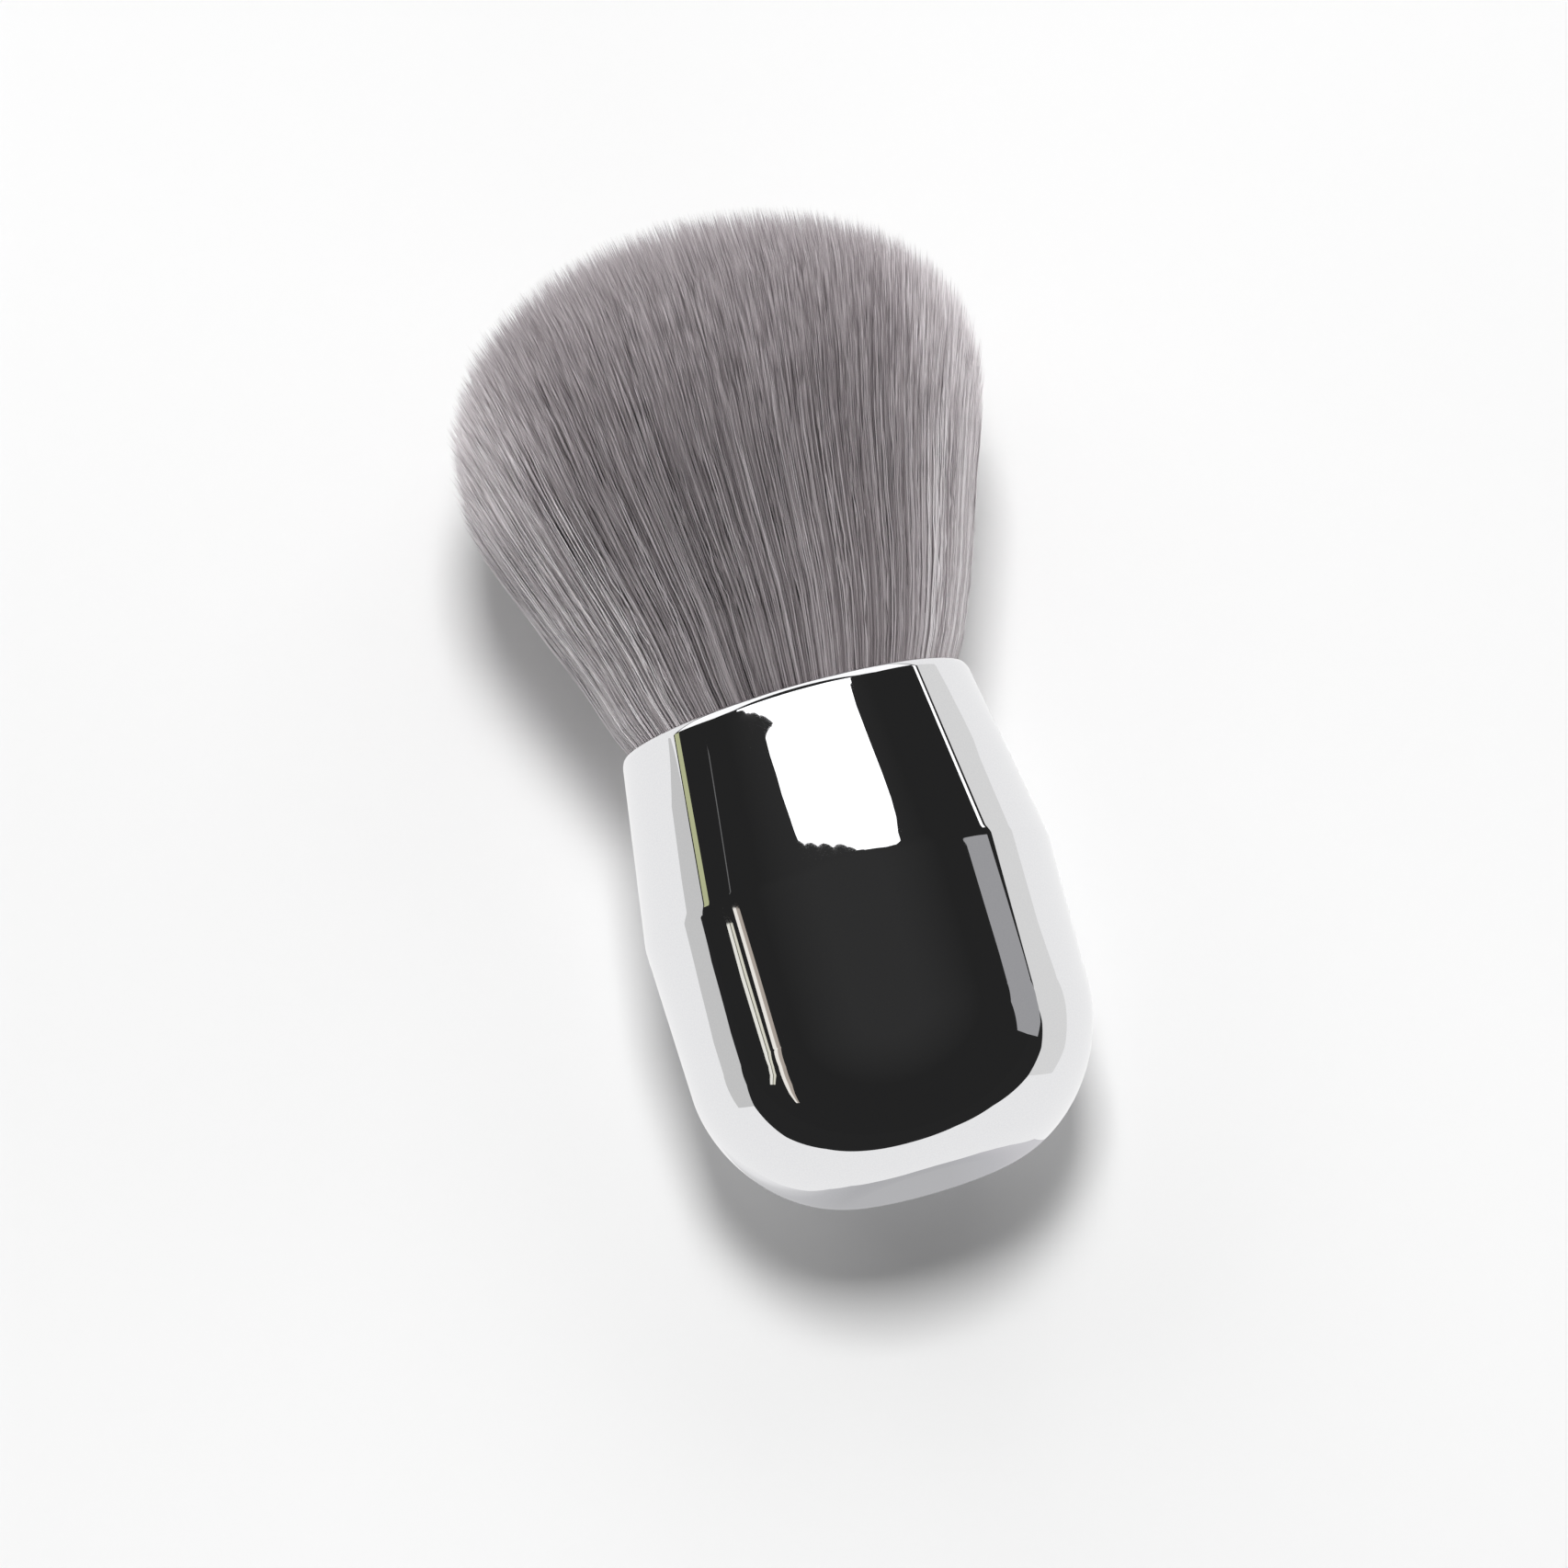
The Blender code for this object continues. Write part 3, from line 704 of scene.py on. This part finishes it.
def strand_mesh(name, lines, strands, places):
    """Three-sided tapered strands round their centre lines, each capped at the root and pointed.

    A ring's corners lie round its centre by the strand's thickness, at even turns in the plane across it.
    """
    count, rings = len(lines), len(places)
    along = np.gradient(lines, axis=1)[:, :rings]
    along /= np.linalg.norm(along, axis=-1, keepdims=True)
    side = np.cross(along, OVER)
    side /= np.linalg.norm(side, axis=-1, keepdims=True)
    up = np.cross(side, along)
    angles = strands["turn"][:, None, None] + np.arange(STRAND_SIDES) * 2 * math.pi / STRAND_SIDES
    width = HAIR_RADIUS * MM * np.interp(places, *zip(*STRAND_TAPER))[None, :, None, None]
    ring = side[:, :, None] * np.cos(angles)[..., None] + up[:, :, None] * np.sin(angles)[..., None]
    ring = lines[:, :rings, None] + ring * width
    points = np.concatenate([ring.reshape(count, -1, 3), lines[:, -1:]], axis=1)
    points[..., 2] = np.maximum(points[..., 2], 0)
    per_strand = rings * STRAND_SIDES + 1
    here = np.arange(STRAND_SIDES)
    then = (here + 1) % STRAND_SIDES
    end = (rings - 1) * STRAND_SIDES
    quads = ring_quads(rings, STRAND_SIDES)
    tip = np.stack([end + here, end + then, np.full(STRAND_SIDES, per_strand - 1)], -1)
    pattern = np.concatenate([quads.ravel(), tip.ravel(), here[::-1]])
    sizes = [4] * (quads.size // 4) + [3] * len(tip) + [STRAND_SIDES]
    corners = (np.arange(count)[:, None] * per_strand + pattern).ravel()
    mesh = mesh_from(name, points.reshape(-1, 3), corners, np.tile(sizes, count))
    add_strand_map(mesh, strands["tone"], pattern, places)
    return mesh


def add_strand_map(mesh, tone, pattern, places):
    """The map that carries a strand's colour: across is the strand's own tone, up is the way to its tip."""
    way = np.array(np.repeat(places, STRAND_SIDES).tolist() + [1.0])
    aside = np.array([-MAP_SIDE, 0.0, MAP_SIDE] * len(places) + [0.0])
    up = MAP_MARGIN + (1 - 2 * MAP_MARGIN) * way[pattern]
    up[-STRAND_SIDES:] = [MAP_MARGIN, MAP_MARGIN + MAP_CAP, MAP_MARGIN]
    spots = np.empty((len(tone), len(pattern), 2), np.float32)
    spots[..., 0] = np.clip(tone[:, None] + aside[pattern], MAP_SIDE / 2, 1 - MAP_SIDE / 2)
    spots[..., 1] = up
    layer = mesh.uv_layers.new(name="OFBake")
    layer.data.foreach_set("uv", spots.ravel())


def make_hair():
    """All the hair, in wedges round the brush so that each piece stays light."""
    material = hair_material()
    plan = plan_hair(np.random.default_rng(HAIR_SEED))
    turns = np.arctan2(plan["roots"][:, 1], plan["roots"][:, 0]) / (2 * math.pi) + 0.5
    for kind, inner, outer, pieces, places in HAIR_LAYERS:
        layer = (plan["share"] >= inner) & (plan["share"] < outer)
        wedge = np.minimum(np.floor(turns * pieces), pieces - 1)
        for number in range(pieces):
            chosen = layer & (wedge == number)
            strands = {key: values[chosen] for key, values in plan.items()}
            name = f"hair_{kind}_{number + 1}"
            mesh = strand_mesh(name, strand_lines(strands, (*places, 1.0)), strands, places)
            piece = new_object(name, mesh, material)
            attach(piece, "root")
            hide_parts("bristles")


# Pieces inside, which keep their CAD shape


def dress_inner_pieces():
    """Gives the CAD nodes that stay their real finishes."""
    finishes = {
        "weight_pad": foam_material(),
        "base_weight": steel_material(),
        "handle_insert": abs_material(),
        "hair_ferrule": aluminium_material(),
        "root_resin": epoxy_material(),
        "root_binding": nylon_material(),
    }
    for node, finish in finishes.items():
        for place in frame["nodes"][node].material_slots:
            place.material = finish


# Studio


def stage_object(name, corners, faces, material):
    """A piece of the studio from world corners, in metres, and the faces between them."""
    mesh = bpy.data.meshes.new(name)
    mesh.from_pydata(corners, [], faces)
    obj = new_object(name, mesh, material)
    return obj


def glow_material(name, colour, strength):
    """A surface that only shines."""
    material = bpy.data.materials.new(name)
    material.use_nodes = True
    tree = material.node_tree
    tree.nodes.clear()
    glow = add_node(tree, "ShaderNodeEmission", {"Color": linear(colour), "Strength": strength})
    add_node(tree, "ShaderNodeOutputMaterial", {"Surface": glow.outputs["Emission"]})
    return material


def mirrored_object(name, corners, faces, colour, strength=1.0):
    """A shining piece of the studio that only the metal shows."""
    obj = stage_object(name, corners, faces, glow_material(name + "_glow", colour, strength))
    obj.visible_camera = False
    obj.visible_diffuse = False
    obj.visible_shadow = False
    return obj


def card(name, corners, colour, strength=1.0):
    """A flat card with these world corners that only the metal shows."""
    return mirrored_object(name, corners, [tuple(range(len(corners)))], colour, strength)


def upright(across, outline):
    """World corners of a card that stands at this place across, from (y, z) points in metres."""
    return [(across, y, z) for y, z in outline]


def on_table(outline, height=0.0):
    """World corners of a flat outline over the table, from (x, y) points and a height in millimetres."""
    return [(x * MM, y * MM, height * MM) for x, y in outline]


def tube(name, stations, colours):
    """A long lamp beside the table, in bands from its lower to its upper edge."""
    stations = np.array(stations)
    low_edge, high_edge = stations[:, :2], stations[:, 2:]
    for number, colour in enumerate(colours):
        low, high = TUBE_BANDS[number], TUBE_BANDS[number + 1]
        bottom = low_edge + low * (high_edge - low_edge)
        top = low_edge + high * (high_edge - low_edge)
        outline = [*bottom.tolist(), *top[::-1].tolist()]
        card(f"{name}_{number + 1}", upright(TUBE_ACROSS, outline), colour)


def make_cards():
    """What the mirror finish shows: a softbox over the head, a grey panel, lamps and window strips."""
    softbox = [(x, y, SOFTBOX_HEIGHT) for x, y in SOFTBOX]
    card("softbox", softbox, "#FFFFFF", SOFTBOX_STRENGTH)
    card("grey_panel", upright(PANEL_ACROSS, PANEL), PANEL_COLOUR)
    card("bright_strip", upright(PANEL_ACROSS, BRIGHT_STRIP), "#FFFFFF", BRIGHT_STRENGTH)
    card("green_strip", upright(GREEN_ACROSS, GREEN_STRIP), "#BDC197")
    card("hanging_wire", upright(TUBE_ACROSS, HANGING_WIRE), "#707070")
    tube("front_tube", FRONT_TUBE, FRONT_TUBE_COLOURS)
    tube("back_tube", BACK_TUBE, BACK_TUBE_COLOURS)


def band_edge(sides, edge):
    """World points of an edge of the far band, at these degrees to the side.

    They lie on an upright cylinder, at its radius times the tangent of the edge's degrees up.
    """
    angles = np.radians(sides)
    heights = BAND_DISTANCE * np.tan(np.radians(np.interp(np.abs(sides), *zip(*edge))))
    return np.stack([BAND_DISTANCE * np.sin(angles), BAND_DISTANCE * np.cos(angles), heights], -1)


def make_far_band():
    """A curved bright band behind the head. Only the lip's top turns far enough to show it."""
    sides = np.linspace(-BAND_REACH, BAND_REACH, BAND_STEPS + 1)
    points = np.concatenate([band_edge(sides, BAND_BOTTOM), band_edge(sides, BAND_TOP)])
    above = len(sides)
    faces = [(i, i + 1, above + i + 1, above + i) for i in range(BAND_STEPS)]
    mirrored_object("far_band", points.tolist(), faces, "#FFFFFF", BAND_STRENGTH)


def table_material(name, mirror_glow):
    """Painted board: matt and pale, with no shine. The metal mirrors it as a flat tone.

    To mirror rays the board glows in its given tone, with no shadow on it: a painted reflection.
    """
    values = {"Base_Color": linear(TABLE_COLOUR), "Roughness": 0.9, "Specular_IOR_Level": 0.0}
    material, tree, shader = new_material(name, **values)
    path = add_node(tree, "ShaderNodeLightPath")
    glow = add_node(tree, "ShaderNodeEmission", {"Color": linear(mirror_glow), "Strength": 1.0})
    mixed = {0: path.outputs["Is Glossy Ray"], 1: shader.outputs["BSDF"], 2: glow.outputs["Emission"]}
    shown = add_node(tree, "ShaderNodeMixShader", mixed)
    tree.links.new(shown.outputs["Shader"], tree.nodes["Material Output"].inputs["Surface"])
    return material


def make_table():
    """The table top, in flat parts that the metal sees as white, as light grey and as dark.

    These tones are painted reflections: for mirror rays each part glows in its tone, with no shadow in it.
    """
    reach = TABLE_REACH
    back_corners = ((reach, reach), (-reach, reach))
    front_corners = ((reach, -reach), (-reach, -reach))
    # Each part: the painted reflection that it glows with for mirror rays, and its outline
    parts = {
        "table": ("#F9F9F9", (*LEFT_EDGE, LEFT_FRONT[-1], *FRONT, *RIGHT_EDGE, *back_corners)),
        "table_left": ("#D1D1D0", (*LEFT_EDGE, *LEFT_FRONT[::-1])),
        "table_right": ("#E5E5E4", (FRONT[-1], *RIGHT_EDGE, *RIGHT_FRONT[::-1])),
        "table_front": ("#282828", (*LEFT_FRONT, *FRONT, *RIGHT_FRONT, *front_corners)),
    }
    for name, (mirror_glow, outline) in parts.items():
        faces = [tuple(range(len(outline)))]
        stage_object(name, on_table(outline), faces, table_material(name + "_top", mirror_glow))


def make_floor_cards():
    """Cards just over the table: the patch that the base's corner mirrors, and the grey panel's foot.

    The patch is a painted shadow: a glowing grey card for the handle's shadow on the table.
    """
    # Painted shadow: the handle's shadow on the table, as a grey card that glows for the metal
    # The tones across take the place of this colour
    patch = card("base_painted_shadow", on_table(BASE_PAINTED_SHADOW, FLOOR_CARD_HEIGHT), "#B9B9BB")
    tint_across(patch, PAINTED_SHADOW_TONES)
    card("grey_panel_foot", on_table(PANEL_FOOT, FLOOR_CARD_HEIGHT), PANEL_COLOUR)


def tint_across(obj, tones):
    """Lets a glowing card's colour change along X, from (millimetres, colour) pairs."""
    tree = obj.data.materials[0].node_tree
    place = add_node(tree, "ShaderNodeTexCoord").outputs["Object"]
    across = add_node(tree, "ShaderNodeSeparateXYZ", {"Vector": place}).outputs["X"]
    start, end = tones[0][0], tones[-1][0]
    reach = {"Value": across, "From Min": start * MM, "From Max": end * MM}
    share = add_node(tree, "ShaderNodeMapRange", reach)
    ramp = add_node(tree, "ShaderNodeValToRGB", {"Fac": share.outputs["Result"]})
    colour = set_ramp(ramp, [((x - start) / (end - start), tone) for x, tone in tones])
    tree.links.new(colour, tree.nodes["Emission"].inputs["Color"])


def make_world():
    """A pale soft fill for everything but the metal, which mirrors the dark room. The camera sees white."""
    world = bpy.data.worlds.new("studio")
    bpy.context.scene.world = world
    world.use_nodes = True
    tree = world.node_tree
    tree.nodes.clear()
    path = add_node(tree, "ShaderNodeLightPath")
    fill = add_node(tree, "ShaderNodeBackground", {"Color": linear("#FFFFFF"), "Strength": WORLD_FILL})
    ray = add_node(tree, "ShaderNodeTexCoord").outputs["Generated"]
    height = add_node(tree, "ShaderNodeSeparateXYZ", {"Vector": ray}).outputs["Z"]
    dark = add_node(tree, "ShaderNodeValToRGB", {"Fac": height})
    room = add_node(tree, "ShaderNodeBackground", {"Color": set_ramp(dark, ROOM_TONES), "Strength": 1.0})
    white = {"Color": linear(BACKDROP_COLOUR), "Strength": 1.0}
    backdrop = add_node(tree, "ShaderNodeBackground", white)
    by_gloss = {0: path.outputs["Is Glossy Ray"], 1: fill.outputs[0], 2: room.outputs[0]}
    lit = add_node(tree, "ShaderNodeMixShader", by_gloss)
    by_camera = {0: path.outputs["Is Camera Ray"], 1: lit.outputs[0], 2: backdrop.outputs[0]}
    shown = add_node(tree, "ShaderNodeMixShader", by_camera)
    add_node(tree, "ShaderNodeOutputWorld", {"Surface": shown.outputs[0]})


def aim(obj, towards):
    """Turns a lamp or camera so that it looks along a world direction."""
    obj.rotation_euler = Vector(towards).to_track_quat("-Z", "Y").to_euler()


def make_lamps():
    """Soft lamps on all sides of the table. A lamp's power follows from what it adds on the table."""
    for name, elevation, azimuth, width, height, table_share in LAMPS:
        place = direction(elevation, azimuth)
        lamp = bpy.data.lights.new(name, "AREA")
        lamp.shape = "RECTANGLE"
        lamp.size = width
        lamp.size_y = height
        lamp.energy = table_share * (math.pi * LAMP_DISTANCE) ** 2 / math.sin(math.radians(elevation))
        obj = bpy.data.objects.new(name, lamp)
        bpy.context.scene.collection.objects.link(obj)
        obj.location = place * LAMP_DISTANCE
        aim(obj, -place)
        obj.visible_glossy = False


def make_camera():
    """The photograph's view: nearly straight down, with the mouth's middle on its own pixel."""
    azimuth = math.radians(CAMERA_AZIMUTH)
    right = np.array([math.cos(azimuth), math.sin(azimuth), 0.0])
    back = direction(CAMERA_ELEVATION, 180 - CAMERA_AZIMUTH)
    up = np.cross(back, right)
    mouth = on_brush(0.0, HANDLE_HEIGHT, 0.0)
    target = mouth - right * MOUTH_ACROSS_PIXELS * PIXEL + up * MOUTH_DOWN_PIXELS * PIXEL
    data = bpy.data.cameras.new("camera")
    data.lens = CAMERA_LENS
    data.sensor_width = CAMERA_SENSOR
    data.clip_start, data.clip_end = CAMERA_CLIP
    camera = bpy.data.objects.new("camera", data)
    bpy.context.scene.collection.objects.link(camera)
    camera.location = target + back * CAMERA_DISTANCE
    aim(camera, -back)
    bpy.context.scene.camera = camera


make_handle()
make_hair()
dress_inner_pieces()
make_table()
make_floor_cards()
make_cards()
make_far_band()
make_world()
make_lamps()
make_camera()
bpy.context.scene.view_settings.view_transform = "Standard"
